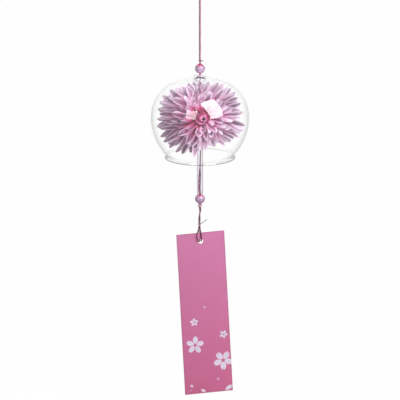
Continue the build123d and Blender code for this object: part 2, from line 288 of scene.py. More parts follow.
def cord_material(name, dark, light, later=None):
    """Twisted yarn: painted shade darkens the lay's grooves, and it has a soft sheen. It may turn paler
    between two places along its run, in millimetres."""
    material, tree, shader = new_material(name)
    place = add(tree, "ShaderNodeTexCoord")
    lay = placed_group(tree, YARN_LAY, {"Vector": place.outputs["UV"]})
    # Painted shade: the lay's grooves take the dark colour, its crests the light one.
    base = blended(tree, lay.outputs["Painted_Shade"], dark, light)
    if later:
        begin, end, paler = later
        run = parts_of(tree, place.outputs["UV"])[1]
        base = blended(tree, mapped(tree, run, begin, end), base, paler)
    spots = ramp(tree, grain_of(tree, place, 900.0), [(0.3, grey(0.8)), (0.7, grey(1.1))])
    fill(tree, shader, {"Base Color": blended(tree, 1.0, base, spots, "MULTIPLY"), "Roughness": 0.62,
                        "Specular IOR Level": 0.25, "Sheen Weight": 0.15, "Sheen Roughness": 0.4})
    bumped(tree, shader, lay.outputs["Height"], 0.5, 0.00006)
    return material


def let_light_through(tree, shader, small):
    """Rays from the lamps pass a clear piece, a little dimmed, so what is behind it stays lit. Where the
    piece is small, the light that has gone to and fro inside it passes too."""
    path = add(tree, "ShaderNodeLightPath").outputs
    passing = path["Is Shadow Ray"]
    if small:
        inside = maths(tree, "GREATER_THAN", path["Glossy Depth"], 1.5)
        passing = maths(tree, "MAXIMUM", passing, maths(tree, "MULTIPLY", inside, small))
    clear = add(tree, "ShaderNodeBsdfTransparent", {"Color": grey(0.96)})
    mix = add(tree, "ShaderNodeMixShader", {0: passing, 1: shader.outputs[0], 2: clear.outputs[0]})
    tree.links.new(mix.outputs[0], tree.nodes["Material Output"].inputs["Surface"])


def clear_material(name, tint, edge, turned, ior, roughness, wave, blown=None, small=None):
    """Clear glass or plastic: painted shade makes it greyer where it turns away from the view, for the dark
    lines at its outline, with wide, faint waves from its making. Blown glass goes by its heights, in metres:
    only the camera sees this painted shade, which is paler upwards; it is small at its crown, and a painted
    grey band runs down to its lip."""
    material, tree, shader = new_material(name)
    place = add(tree, "ShaderNodeTexCoord")
    # Painted shade at the outline: the edge colour where the surface turns away from the view.
    facing = add(tree, "ShaderNodeLayerWeight", {"Blend": 0.5}).outputs["Facing"]
    away = mapped(tree, facing, *turned, interpolation_type="LINEAR" if blown else "SMOOTHSTEP")
    if blown:
        height = parts_of(tree, place.outputs["Object"])[2]
        away = maths(tree, "MULTIPLY", away, add(tree, "ShaderNodeLightPath").outputs["Is Camera Ray"])
        # The painted outline fades upwards, and a painted grey band holds at the lip.
        thin = mapped(tree, height, *blown["thin"], 1.0, 0.15)
        small = mapped(tree, height, *blown["crown"])
        thick = mapped(tree, height, *blown["lip"], 0.0, 0.44)
        away = maths(tree, "MAXIMUM", maths(tree, "MULTIPLY", away, thin), thick)
    fill(tree, shader, {"Base Color": blended(tree, away, tint, edge), "Roughness": roughness, "IOR": ior,
                        "Transmission Weight": 1.0})
    bumped(tree, shader, grain_of(tree, place, 40.0, 0.5, 0.0), 0.15, wave)
    let_light_through(tree, shader, small)
    return material


def bead_material():
    """Pearly resin: lilac clouds, with painted shade at the sides where it turns away, and a painted glimpse
    of the crimson cord and the shade in the bore round the bore's mouths, more at the top."""
    material, tree, shader = new_material("bead_resin")
    place = add(tree, "ShaderNodeTexCoord")
    cloud = grain_of(tree, place, 110.0, 0.5, 1.0)
    facing = add(tree, "ShaderNodeLayerWeight", {"Blend": 0.5})
    milky = ramp(tree, cloud, dye((0.35, 186, 149, 179), (0.65, 200, 169, 194)))
    # Painted shade at the sides by facing, then a painted glimpse of the crimson cord round the bore.
    edge = blended(tree, facing.outputs["Facing"], milky, rgb(126, 102, 138))
    painted_cord_glimpse = ramp(tree, parts_of(tree, place.outputs["UV"])[1],
                     [(0.0, grey(0.6)), (0.07, grey(0.0)), (0.56, grey(0.0)), (0.71, grey(0.95))])
    fill(tree, shader, {"Base Color": blended(tree, painted_cord_glimpse, edge, rgb(206, 74, 126)), "Roughness": 0.3,
                        "IOR": 1.49, "Specular IOR Level": 0.3, "Coat Weight": 0.1, "Coat Roughness": 0.15})
    bumped(tree, shader, cloud, 0.1, 0.00005)
    return material


def petal_material(name, stops, painted_shade_stops):
    """Pressed cloth: its colour runs from the root to the tip, and goes over to its painted shade colours as
    far
    as the tone_and_painted_shade value asks: in the folds, at the tips, on the side away from the light and
    past the layer in front. Streaks and weave run along it."""
    material, tree, shader = new_material(name)
    place = add(tree, "ShaderNodeTexCoord")
    tone_and_painted_shade = add(tree, "ShaderNodeAttribute", attribute_name="tone_and_painted_shade")
    streaks = placed_group(tree, CLOTH_STREAKS, {"Vector": place.outputs["UV"]}).outputs
    uneven = maths(tree, "SUBTRACT", streaks["Streak"], 0.5)
    along = maths(tree, "MULTIPLY_ADD", uneven, 0.3, parts_of(tree, place.outputs["UV"])[1])
    # Painted shade: the tone_and_painted_shade attribute, made a little uneven, mixes the dye with the
    # painted shade stops.
    depth = maths(tree, "MULTIPLY_ADD", uneven, 0.35, tone_and_painted_shade.outputs["Fac"])
    dyed = blended(tree, depth, ramp(tree, along, stops), ramp(tree, along, painted_shade_stops))
    rib = maths(tree, "MULTIPLY_ADD", streaks["Streak"], 0.6, 0.7)
    rib = maths(tree, "MULTIPLY", rib, maths(tree, "MULTIPLY_ADD", grain_of(tree, place, 260.0), 0.3, 0.85))
    fill(tree, shader, {"Base Color": scaled(tree, dyed, rib), "Roughness": 0.7, "Specular IOR Level": 0.12,
                        "Sheen Weight": 0.05, "Sheen Roughness": 0.45})
    bumped(tree, shader, maths(tree, "MULTIPLY_ADD", streaks["Weave"], 0.25, streaks["Streak"]), 0.4, 0.0002)
    return material


def card_material():
    """Matte pink card: paler at its head, deeper at its foot, with painted shade along its cut edge and paper
    fibre.
    """
    material, tree, shader = new_material("pink_card")
    place = add(tree, "ShaderNodeTexCoord")
    parts = parts_of(tree, place.outputs["UV"])
    grain = grain_of(tree, place, 700.0, 0.12)
    down = ramp(tree, parts[1], dye((0.0, 194, 98, 138), (0.3, 196, 106, 147), (0.65, 199, 114, 156),
                                    (1.0, 203, 121, 164)))
    side = maths(tree, "MULTIPLY_ADD", parts[0], 0.05, 0.975)
    fibre = maths(tree, "MULTIPLY_ADD", grain, 0.16, 0.92)

    def gap(way, size):
        """How far a point lies inside the card's edge, in millimetres."""
        from_middle = maths(tree, "ABSOLUTE", maths(tree, "SUBTRACT", way, 0.5))
        return maths(tree, "MULTIPLY_ADD", from_middle, -size, size / 2)

    inside = maths(tree, "MINIMUM", gap(parts[0], TAG_WIDTH), gap(parts[1], TAG_LENGTH))
    # Painted shade along the cut edge.
    cut = mapped(tree, inside, 0.1, 0.9, 0.72, 1.0)
    shade = maths(tree, "MULTIPLY", maths(tree, "MULTIPLY", side, fibre), cut)
    fill(tree, shader, {"Base Color": scaled(tree, down, shade), "Roughness": 0.78,
                        "Specular IOR Level": 0.2})
    bumped(tree, shader, grain, 0.3, 0.00004)
    return material


def print_material(name, middle_colour, edge_colour):
    """Pale ink on the card: bluish in its middle, thinner in specks, so the pink shows through."""
    material, tree, shader = new_material(name)
    place = add(tree, "ShaderNodeTexCoord")
    grain = grain_of(tree, place, 900.0, 0.3)
    across = parts_of(tree, place.outputs["UV"])[0]
    middle = maths(tree, "ABSOLUTE", maths(tree, "SUBTRACT", across, 0.5))
    pale = ramp(tree, middle, [(0.1, middle_colour), (0.4, edge_colour)])
    ink = ramp(tree, grain, [(0.3, (0.86, 0.74, 0.82, 1.0)), (0.48, grey(1.0))])
    fill(tree, shader, {"Base Color": blended(tree, 1.0, pale, ink, "MULTIPLY"), "Roughness": 0.6,
                        "Specular IOR Level": 0.2})
    bumped(tree, shader, grain, 0.2, 0.00002)
    return material


def hub_material():
    """Moulded hub, wine red, faintly mottled."""
    material, tree, shader = new_material("hub_plastic")
    grain = grain_of(tree, add(tree, "ShaderNodeTexCoord"), 500.0)
    fill(tree, shader, {"Base Color": ramp(tree, grain, dye((0.35, 96, 22, 48), (0.65, 132, 36, 70))),
                        "Roughness": 0.55})
    bumped(tree, shader, grain, 0.3, 0.0001)
    return material


MAUVE_CORD = cord_material("mauve_cord", rgb(92, 56, 76), rgb(134, 96, 118))
PINK_CORD = cord_material("pink_cord", rgb(182, 112, 146), rgb(218, 166, 194))
CRIMSON_CORD = cord_material("crimson_cord", rgb(150, 36, 92), rgb(206, 76, 132))
ROSE_CORD = cord_material("rose_cord", rgb(102, 46, 74), rgb(140, 80, 106))
WINE_CORD = cord_material("wine_cord", rgb(72, 22, 44), rgb(112, 44, 72))
DARK_CORD = cord_material("dark_cord", rgb(58, 38, 50), rgb(90, 66, 81))
GREY_CORD = cord_material("grey_cord", rgb(120, 108, 114), rgb(184, 178, 182))
FLOWER_YARN = cord_material("flower_yarn", rgb(76, 44, 62), rgb(118, 82, 102),
                            later=(9.0, 15.0, rgb(206, 150, 182)))
# Each clear piece's second colour is its painted dark outline.
GLASS = clear_material("blown_glass", grey(1.0), rgb(58, 64, 61), turned=(0.5, 1.0), ior=1.47, roughness=0.0,
                       wave=0.00006, blown={"thin": (-0.108, -0.084), "crown": (-0.09, -0.085),
                                            "lip": (-0.1438, -0.1452)})
CLEAR_PLASTIC = clear_material("clear_plastic", grey(0.99), rgb(210, 208, 212), turned=(0.4, 1.0), ior=1.42,
                               roughness=0.02, wave=0.00005, small=1.0)
TUBE_PLASTIC = clear_material("tube_plastic", rgb(250, 247, 251), rgb(70, 52, 76), turned=(0.15, 0.75),
                              ior=1.42, roughness=0.0, wave=0.00002)
BEAD = bead_material()
CARD = card_material()
PRINT = print_material("pale_print", rgb(212, 206, 226), rgb(230, 210, 228))
THIN_PRINT = print_material("thin_print", rgb(208, 166, 198), rgb(206, 156, 190))
HUB = hub_material()
# The second row of stops holds the petals' painted shade colours.
PETAL_CLOTH = petal_material(
    "petal_cloth",
    dye((0.0, 116, 6, 48), (0.22, 166, 20, 80), (0.36, 204, 62, 126), (0.5, 220, 126, 176),
        (0.66, 224, 172, 207), (0.84, 220, 193, 218), (1.0, 210, 190, 213)),
    dye((0.0, 78, 4, 30), (0.42, 140, 16, 70), (0.6, 134, 54, 98), (0.78, 112, 70, 98), (1.0, 82, 57, 76)))
# The second row of stops holds the heart's painted shade colours.
HEART_CLOTH = petal_material(
    "heart_cloth",
    dye((0.0, 60, 2, 26), (0.5, 108, 6, 50), (0.76, 146, 24, 82), (0.92, 200, 108, 156),
        (1.0, 220, 166, 198)),
    dye((0.0, 38, 2, 16), (0.6, 84, 4, 38), (1.0, 118, 20, 66)))
# The cloth for the heart's other side: darker, as painted shade inside the cup.
HEART_SHADED_INSIDE = petal_material("heart_shaded_inside", dye((0.0, 56, 2, 24), (1.0, 146, 18, 76)),
                              dye((0.0, 38, 2, 16), (1.0, 112, 8, 50)))


# Mesh helpers: grids of points, and pieces put together from several grids

def grid(points, wrap_rows=False, wrap_columns=False, places=None):
    """Quads between neighbouring points. Each corner's place is its share of the grid, or is read from
    places."""
    rows, columns = points.shape[:2]
    spans = rows - (not wrap_rows), columns - (not wrap_columns)
    i, j = np.meshgrid(np.arange(spans[0]), np.arange(spans[1]), indexing="ij")
    corners = [(0, 0), (0, 1), (1, 1), (1, 0)]
    faces = np.stack([((i + a) % rows) * columns + (j + b) % columns for a, b in corners], -1).reshape(-1, 4)
    if places is None:
        shares = [np.stack([(j + b) / spans[1], (i + a) / spans[0]], -1) for a, b in corners]
        places = np.stack(shares, -2).reshape(-1, 4, 2)
    else:
        places = places.reshape(-1, 2)[faces]
    return points.reshape(-1, 3), faces, places


def fan(points):
    """A flat cap over one closed ring of points, as triangles round its middle. A triangle names its last
    point twice."""
    count = len(points)
    ring, middle = np.arange(count), np.full(count, count)
    faces = np.stack([ring, (ring + 1) % count, middle, middle], -1)
    return np.vstack([points, points.mean(0)]), faces, np.full((count, 4, 2), 0.5)


def joined(grids):
    """Several grids as one."""
    start = np.cumsum([0] + [len(points) for points, _, _ in grids])[:-1]
    points = np.concatenate([points for points, _, _ in grids])
    faces = np.concatenate([faces + begin for (_, faces, _), begin in zip(grids, start)])
    return points, faces, np.concatenate([places for _, _, places in grids])


def turn_outward(mesh):
    """Merges doubled points and turns the faces of closed shells outward."""
    work = bmesh.new()
    work.from_mesh(mesh)
    bmesh.ops.remove_doubles(work, verts=work.verts, dist=1e-7)
    bmesh.ops.recalc_face_normals(work, faces=work.faces)
    work.to_mesh(mesh)
    work.free()


def piece(name, body, nodes, material, parts, tone_and_painted_shade=None, outward=True):
    """A mesh piece in metres that rides on a body and stands for CAD nodes."""
    points, faces, places = parts
    mesh = bpy.data.meshes.new(name)
    triangle = faces[:, 2] == faces[:, 3]
    sides = [face[:3] if three else face for face, three in zip(faces.tolist(), triangle)]
    mesh.from_pydata((points * MM).tolist(), [], sides)
    layer = mesh.uv_layers.new(name="UVMap")
    kept = np.ones((len(faces), 4), bool)
    kept[triangle, 3] = False
    layer.data.foreach_set("uv", places[kept].astype(np.float32).ravel())
    # Each point's painted shade with its random shift, as the petal cloth reads it.
    if tone_and_painted_shade is not None:
        mesh.attributes.new("tone_and_painted_shade", "FLOAT", "POINT").data.foreach_set("value", tone_and_painted_shade.astype(np.float32))
    mesh.polygons.foreach_set("use_smooth", np.ones(len(mesh.polygons), bool))
    mesh.materials.append(material)
    if outward:
        turn_outward(mesh)
    made = bpy.data.objects.new(name, mesh)
    bpy.context.scene.collection.objects.link(made)
    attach(made, body)
    if nodes:
        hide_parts(*nodes)
    return made


def revolved(profile, steps, centre):
    """A closed profile of radius and height, turned round the upright axis."""
    angle = np.arange(steps) * 2 * np.pi / steps
    radius, height = profile[:, 0, None], profile[:, 1, None]
    points = np.stack([radius * np.cos(angle), radius * np.sin(angle), height + 0 * angle], -1)
    return grid(points + np.asarray(centre), True, True)


def unit(vectors):
    """Vectors drawn to length one."""
    return vectors / np.linalg.norm(vectors, axis=-1, keepdims=True)


def run_along(points):
    """How far each point lies along its line."""
    return np.concatenate([[0.0], np.cumsum(np.linalg.norm(np.diff(points, axis=0), axis=1))])


def spokes(side, other, angle):
    """Directions round each point of a line: side by the cosine of the angle and other by its sine."""
    return side[:, None] * np.cos(angle)[None, :, None] + other[:, None] * np.sin(angle)[None, :, None]


# The yarn: its plies, the length of one turn of its lay, and how far the plies swell it
PLIES, LAY, SWELL = 3, 1.0, 0.04


def swept(path, radius, sides, beside=ACROSS):
    """A round cord along a path: rings square to it, swollen by the cosine of the way round its plies less
    the way along its lay, and drawn in at both ends. The first end is capped, the last one stays open."""
    along = unit(np.gradient(path, axis=0))
    side = unit(np.cross(along, beside))
    run = run_along(path)
    angle = np.linspace(0, 2 * np.pi, sides + 1)
    ring = radius * (1 + SWELL * np.cos(PLIES * angle[None, :] - 2 * np.pi * run[:, None] / LAY))
    ring[[0, -1]] *= 0.7
    points = path[:, None] + ring[:, :, None] * spokes(side, np.cross(along, side), angle)
    places = np.stack(np.broadcast_arrays(angle[None, :] / (2 * np.pi), run[:, None] / LAY), -1)
    return joined([grid(points, places=places), fan(points[0, :-1])])


def upright(side, ends, count):
    """A straight line of points from one height down to another."""
    return np.stack([np.full(count, side), np.zeros(count), np.linspace(*ends, count)], -1)


def route(points, resolution=24):
    """Points read from the smooth line of a cord's route: a curve of the third order, held at its ends."""
    curve = bpy.data.curves.new("route", "CURVE")
    curve.dimensions = "3D"
    line = curve.splines.new("NURBS")
    line.points.add(len(points) - 1)
    for place, point in zip(line.points, points):
        place.co = (*point, 1.0)
    line.order_u = 3
    line.use_endpoint_u = True
    line.resolution_u = resolution
    carrier = bpy.data.objects.new("route", curve)
    mesh = bpy.data.meshes.new_from_object(carrier)
    found = np.zeros(len(mesh.vertices) * 3)
    mesh.vertices.foreach_get("co", found)
    bpy.data.objects.remove(carrier)
    bpy.data.curves.remove(curve)
    bpy.data.meshes.remove(mesh)
    return found.reshape(-1, 3)


def trefoil(radius, yarn, turn, tall):
    """An overhand knot drawn tight: a line that goes twice round the cord, while its distance swings by the
    cosine and its height by the sine of three times the angle, with rings of yarn square to it. Gives the
    rings and how often the yarn's lay turns along them."""
    steps, sides, lays = 120, 12, 12
    angle = np.linspace(0, 2 * np.pi, steps, endpoint=False)
    small = (radius - yarn) * 0.46
    ring = (radius - yarn) * 0.54 + small * np.cos(3 * angle)
    flat = 2 * angle + turn
    line = np.stack([ring * np.cos(flat), ring * np.sin(flat), -tall * small * 1.7 * np.sin(3 * angle)], -1)
    along = unit(np.roll(line, -1, 0) - np.roll(line, 1, 0))
    away = unit(line - along * np.sum(line * along, 1, keepdims=True) + 1e-6)
    around = np.arange(sides) * 2 * np.pi / sides
    run = np.arange(steps) / steps * lays
    swell = 1 + 0.05 * np.cos(PLIES * around[None, :] - 2 * np.pi * run[:, None])
    return line[:, None] + yarn * swell[:, :, None] * spokes(away, np.cross(along, away), around), lays


def ball(radius):
    """A round core: rings of a ball, short of its poles."""
    pole = 0.12
    lean = np.linspace(pole, np.pi - pole, 16)[:, None]
    turn = np.arange(24)[None, :] * 2 * np.pi / 24
    points = np.stack([np.sin(lean) * np.cos(turn), np.sin(lean) * np.sin(turn), np.cos(lean) + 0 * turn], -1)
    return points * radius


def wound_knot(node, body, material, centre, radius, yarn, turn=0.0, tall=1.0, tail=()):
    """A tight knot as one piece: the wound cord, the core that fills it, capped at its upper pole and open at
    its lower one, and its tail where it has one."""
    wound, lays = trefoil(radius, yarn, turn, tall)
    points, faces, places = grid(wound + centre, True, True)
    core = ball(radius * 0.55) + centre
    piece(node + "_wound", body, [node], material,
          joined([(points, faces, places * (1, lays)), grid(core, False, True), fan(core[0]), *tail]))


# The hanging cord

def free_strand(name, side, material):
    """One of the two strands that carry the bell, drawn taut."""
    straight = 5
    heights = (STRAND_TOP_Z, STRAND_TOP_Z - straight, STRAND_BOTTOM_Z + straight, STRAND_BOTTOM_Z)
    points = [(side, 0, height) for height in heights]
    line = route(points, 120)
    made = piece(name + "_yarn", "hanging_cord", [name], material, swept(line, CORD / 2, 14))


def hanging_cord():
    """The loop for the hook, its knot, the two strands and the knot over the bead."""
    free_strand("hanging_strand_left", -PAIR_ASIDE, MAUVE_CORD)
    free_strand("hanging_strand_right", PAIR_ASIDE, PINK_CORD)
    loop = route([(-PAIR_ASIDE, 0, -9.75), (-3.3, 0, -4.8), (-3.3, 0, 0.425), (3.3, 0, 0.425), (3.3, 0, -4.8),
                  (PAIR_ASIDE, 0, -9.75)], 48)
    piece("hanging_loop_cord", "hanger", ["hanging_loop"], MAUVE_CORD, swept(loop, CORD / 2, 14))
    wound_knot("loop_knot", "hanger", MAUVE_CORD, LOOP_KNOT, radius=1.6, yarn=0.5)
    tail = route([TOP_KNOT, TOP_KNOT + (1.2, -0.1, -0.1), TOP_KNOT + (2.6, 0.0, 0.1)])
    wound_knot("top_knot", "hanging_cord", MAUVE_CORD, TOP_KNOT, radius=1.25, yarn=0.42,
               tail=[swept(tail, 0.38, 10, (0.0, 0.3, 1.0))])


hanging_cord()


# Beads with their cords and knots

def bead_profile():
    """Half an oval from the bore out and back, with the bore's edges eased: its radius is the cosine of its
    lean, a little fuller, and its height the sine."""
    mouth = math.acos(BEAD_MOUTH / BEAD_RADIUS)
    lean = np.linspace(-1, 1, 41) * mouth
    outside = np.stack([BEAD_RADIUS * np.cos(lean) ** 0.94, BEAD_HALF * np.sin(lean) / math.sin(mouth)], -1)
    ease = np.array([[BEAD_BORE + 0.1, BEAD_HALF - 0.05], [BEAD_BORE, BEAD_HALF - 0.2]])
    inner_half = BEAD_HALF - 0.5
    bore = np.stack([np.full(9, BEAD_BORE), np.linspace(inner_half, -inner_half, 9)], -1)
    return np.vstack([outside, ease, bore, ease[::-1] * [1, -1]])


def beads():
    """The bead over the glass and the bead under the tube, each carried by a knot."""
    profile = bead_profile()
    piece("top_bead_round", "top_bead", ["top_bead"], BEAD, revolved(profile, 64, TOP_BEAD))
    piece("bottom_bead_round", "bottom_bead", ["bottom_bead"], BEAD,
          revolved(profile, 64, BOTTOM_BEAD))
    strands = [swept(upright(side, BEAD_CORDS_Z, 24), CORD / 2, 12) for side in (-PAIR_ASIDE, PAIR_ASIDE)]
    piece("bead_cord_pair", "bell_cord", ["bead_cords"], CRIMSON_CORD, joined(strands))
    wound_knot("under_bead_knot", "bell_cord", PINK_CORD, UNDER_BEAD_KNOT, radius=1.5, yarn=0.55, turn=0.6)
    wound_knot("bottom_knot", "clapper", PINK_CORD, BOTTOM_KNOT, radius=1.75, yarn=0.65, turn=0.3, tall=1.25)
    piece("crown_cord_strand", "bell_cord", ["crown_cord"], MAUVE_CORD,
          swept(upright(0.0, CROWN_CORD_Z, 14), CORD / 2, 12))
    wound_knot("stopper_knot", "bell_cord", MAUVE_CORD, STOPPER_KNOT, radius=1.1, yarn=0.38)


beads()


# The blown glass

def wall_radius(height, inset):
    """The bowl's radius at a height over its equator: a superellipse, of one power over it, another below."""
    half, high, deep = BOWL_HALF - inset, DOME_HIGH - inset, SKIRT_DEEP - inset
    over = half * (1 - np.clip(height / high, 0, 1) ** DOME_POWER) ** (1 / DOME_POWER)
    under = half * (1 - np.clip(-height / deep, 0, 1) ** SKIRT_POWER) ** (1 / SKIRT_POWER)
    return np.where(height > 0, over, under)


def wall_line(inset, first):
    """Radius and height of a bowl surface, from a radius near the crown over the equator to the lip."""
    drawn_in, count = 28.65, 34
    start = math.asin((1 - (first / (BOWL_HALF - inset)) ** DOME_POWER) ** (1 / DOME_POWER))
    up = (DOME_HIGH - inset) * np.sin(np.linspace(start, 0, count, endpoint=False))
    height = np.concatenate([up, -np.linspace(0, drawn_in, count)])
    return np.stack([wall_radius(height, inset), height], -1)


def eased(points, steps=10):
    """A smooth line from the first point to the last, drawn toward those between, as a quadratic or cubic
    arc."""
    share = np.linspace(0, 1, steps)[:, None]
    points = [np.array(point, float) for point in points]
    while len(points) > 1:
        points = [a * (1 - share) + b * share for a, b in zip(points, points[1:])]
    return points[0]


def bowl_profile():
    """The bowl's section, over its equator: a raised collar round the crown hole, dome and drawn-in skirt, a
    flared lip with a rounded rim, and the same a wall's thickness inside."""
    outer, inner = wall_line(0.0, 6.4), wall_line(GLASS_WALL, 5.1)
    hole, neck, shoulder_z, collar_z, crest_z = 3.5, 4.8, 35.1, 37.1, 37.55
    mouth, mouth_z, rim_z, ease = 28.8, -31.3, -31.85, 0.2
    inside = mouth - GLASS_WALL

    def lip(wall, radius):
        """Drawn in a little more, then flared to the mouth."""
        return eased([wall[-1], wall[-1] + [-0.55, -0.75], (radius - 0.75, mouth_z + 1.4), (radius, mouth_z)],
                     9)[1:]

    collar = eased([(hole, collar_z), (hole, crest_z), (neck, crest_z), (neck, collar_z)])
    shoulder = eased([(neck, shoulder_z), (neck, shoulder_z - 0.9), outer[0] * [0.93, 1.0], outer[0]], 8)[:-1]
    rim = eased([(mouth, mouth_z), (mouth - ease, rim_z), (inside + ease, rim_z), (inside, mouth_z)], 9)[1:-1]
    flare = eased([(hole, 34.3), (hole, 32.9), inner[0] * [0.95, 1.0], inner[0]], 8)[:-1]
    return np.concatenate([collar, shoulder, outer, lip(outer, mouth), rim, lip(inner, inside)[::-1],
                           inner[::-1], flare[::-1]])


def glassware():
    """The bowl, the clear washer that carries it and the clear tube."""
    piece("glass_bowl_blown", "bowl", ["glass_bowl"], GLASS,
          revolved(bowl_profile(), 360, (0, 0, EQUATOR_Z)))
    hole, reach, thick, ease = 0.65, 5.2, 0.8, 0.15
    edge = eased([(reach - ease, 0), (reach, 0), (reach, -ease)], 4)
    washer = np.concatenate([[(hole, 0.0)], edge, edge[::-1] * [1, -1] + [0, -thick], [(hole, -thick)]])
    piece("crown_stopper_disc", "bell_cord", ["crown_stopper"], CLEAR_PLASTIC,
          revolved(washer, 72, (0, 0, WASHER_TOP_Z)))
    ease = 0.2
    end = np.concatenate([eased([(TUBE_BORE, -ease), (TUBE_BORE, 0), (TUBE_BORE + ease, 0)], 4),
                          eased([(TUBE_RADIUS - ease, 0), (TUBE_RADIUS, 0), (TUBE_RADIUS, -ease)], 4)])
    tube = np.concatenate([end, end[::-1] * [1, -1] + [0, TUBE_BOTTOM_Z - TUBE_TOP_Z]])
    piece("clapper_tube_clear", "tube", ["clapper_tube"], TUBE_PLASTIC,
          revolved(tube, 64, (0, 0, TUBE_TOP_Z)))


glassware()


# The flower, in its own frame: x to the right, y up along the petals, z to the viewer

def to_frame(points):
    """Points of the flower's frame in the row's frame."""
    cosine, sine = math.cos(FLOWER_TILT), math.sin(FLOWER_TILT)
    x, y, z = points[..., 0], points[..., 1], points[..., 2]
    return np.stack([x, sine * y - cosine * z, cosine * y + sine * z], -1) + FLOWER


def from_frame(points):
    """Points of the row's frame in the flower's frame."""
    cosine, sine = math.cos(FLOWER_TILT), math.sin(FLOWER_TILT)
    x, y, z = np.moveaxis(points - FLOWER, -1, 0)
    return np.stack([x, sine * y + cosine * z, sine * z - cosine * y], -1)


FLOWER_CORD = [(0.0, 0.0, -84.65), (-0.6, -1.0, -86.6), (-3.2, -4.2, -92.0), (-3.7, -7.2, -98.8),
               (-2.6, -9.4, -105.8), (0.8, -9.45, -109.51), (0.14, -1.64, -112.41)]

# The tips of the flower's outline: the angle of each from its right side, in degrees, and its reach
TIPS = np.array([
    (8.0, 34.8), (19.0, 34.5), (29.5, 34.6), (35.5, 35.0), (44.0, 35.1), (57.1, 34.4), (68.0, 30.5),
    (79.0, 29.8), (90.0, 28.5), (100.7, 30.6), (109.6, 30.2), (122.4, 30.3), (130.4, 32.0), (140.0, 34.0),
    (149.8, 36.8), (157.5, 36.1), (168.6, 36.4), (181.5, 35.9), (190.5, 36.3), (204.0, 36.4), (214.3, 36.2),
    (223.4, 35.6), (233.9, 34.5), (242.4, 33.3), (252.0, 29.5), (261.9, 32.7), (270.0, 26.0), (278.8, 26.6),
    (294.0, 26.0), (309.8, 29.9), (321.0, 31.0), (332.0, 35.0), (341.7, 36.4), (351.0, 36.6)])
TIP_ANGLES, TIP_REACHES = TIPS.T

# Where a petal is broad and flat, and how far that is felt, in the same degrees
BROAD_ANGLES, BROAD_SPREAD = (61.0, 83.0, 145.0), 9.0


def outline(angle):
    """The flower's reach at an angle in degrees, read between its tips."""
    return np.interp(angle, TIP_ANGLES, TIP_REACHES, period=360)


def swelling(along, widest, foot, point, close):
    """A petal's width along it: by a quarter sine from its foot share up to one at its widest, then closed
    to its tip by a power of the way past it."""
    swell = foot + (1 - foot) * np.sin(np.clip(along / widest, 0, 1) * np.pi / 2) ** 1.3
    left = 1 - np.clip((along - widest) / (1.0 - widest), 0, 1) ** point
    return swell * np.clip(left, 0, 1) ** close


def petal_chance(seed, count):
    """The seeded chance of one ring of petals, and its way to vary a value from petal to petal."""
    chance = np.random.default_rng(seed)

    def varied(value, by):
        """A value for each petal, up to so much more or less."""
        return (value + chance.uniform(-by, by, count))[:, None, None]

    return chance, varied


def petal_grid(rows):
    """The way along a petal, from 0 to 1, and across it, from -1 to 1."""
    return np.linspace(0, 1, rows)[None, :, None], np.linspace(-1, 1, 13)[None, None, :]


